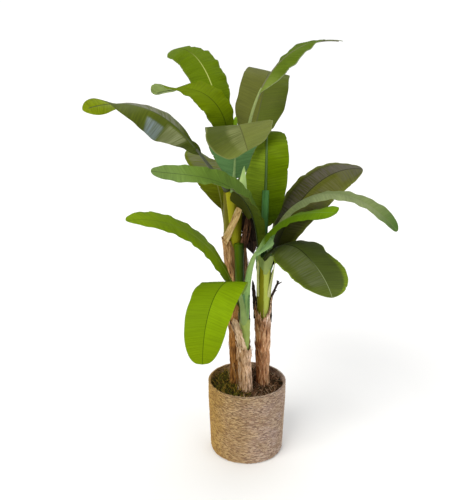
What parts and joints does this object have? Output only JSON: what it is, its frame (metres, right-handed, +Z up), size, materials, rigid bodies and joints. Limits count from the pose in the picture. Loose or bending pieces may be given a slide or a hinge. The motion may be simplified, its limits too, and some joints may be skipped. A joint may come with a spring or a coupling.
{
  "type": "artificial banana plant in a basket",
  "caption": "Tall artificial banana plant: three husk-covered stems with broad arching leaves, standing in moss in a round woven seagrass basket.",
  "frame": {"origin": "centre of the basket's flat underside", "axes": "+Z up along the stems, -Y towards the front, where the low broad leaf hangs over, +X to the right of the front"},
  "size_m": [1.1621, 0.9803, 1.7183],
  "materials": {
    "basket": "coarse twisted seagrass rope",
    "cast_weight": "rough cast",
    "moss": "dry moss and fibre",
    "husk": "matt fibrous bark",
    "dried": "matt dried sheath",
    "green_stem": "satin",
    "sheath": "satin",
    "bract": "satin",
    "leaf": "satin coated cloth",
    "young_leaf": "satin coated cloth"
  },
  "bodies": {
    "root": {"basket": "basket", "bract_c_left": "bract", "bract_c_right": "bract", "cast_weight": "cast_weight", "dry_point_c1": "dried", "dry_strip_a1": "dried", "dry_strip_a2": "dried", "dry_strip_b2": "dried", "dry_twig_c2": "dried", "green_sheath_a": "sheath", "green_stem_a": "green_stem", "green_stem_b": "bract", "green_stem_c": "green_stem", "husk_a_lower": "husk", "husk_a_upper": "husk", "husk_b": "husk", "husk_c": "husk", "husk_ribbon_a": "husk", "husk_strip_b1": "husk", "leaf_a1": "leaf", "leaf_a1_tip": "leaf", "leaf_a2": "young_leaf", "leaf_a2_tip": "young_leaf", "leaf_a3": "leaf", "leaf_a5": "leaf", "leaf_a6": "leaf", "leaf_a6_tip": "leaf", "leaf_a7": "leaf", "leaf_a7_tip": "leaf", "leaf_a8": "leaf", "leaf_a8_tip": "leaf", "leaf_b12": "leaf", "leaf_b12_tip": "leaf", "leaf_b14": "young_leaf", "leaf_b14_tip": "young_leaf", "leaf_b15": "young_leaf", "leaf_b15_tip": "young_leaf", "leaf_c10": "leaf", "leaf_c10_tip": "leaf", "leaf_c11": "leaf", "leaf_c11_tip": "leaf", "leaf_c13": "leaf", "leaf_c13_tip": "leaf", "leaf_c4": "leaf", "leaf_c4_tip": "leaf", "leaf_c9": "leaf", "leaf_c9_tip": "leaf", "moss_bed": "moss", "new_leaf_spear": "young_leaf"}
  },
  "joints": []
}
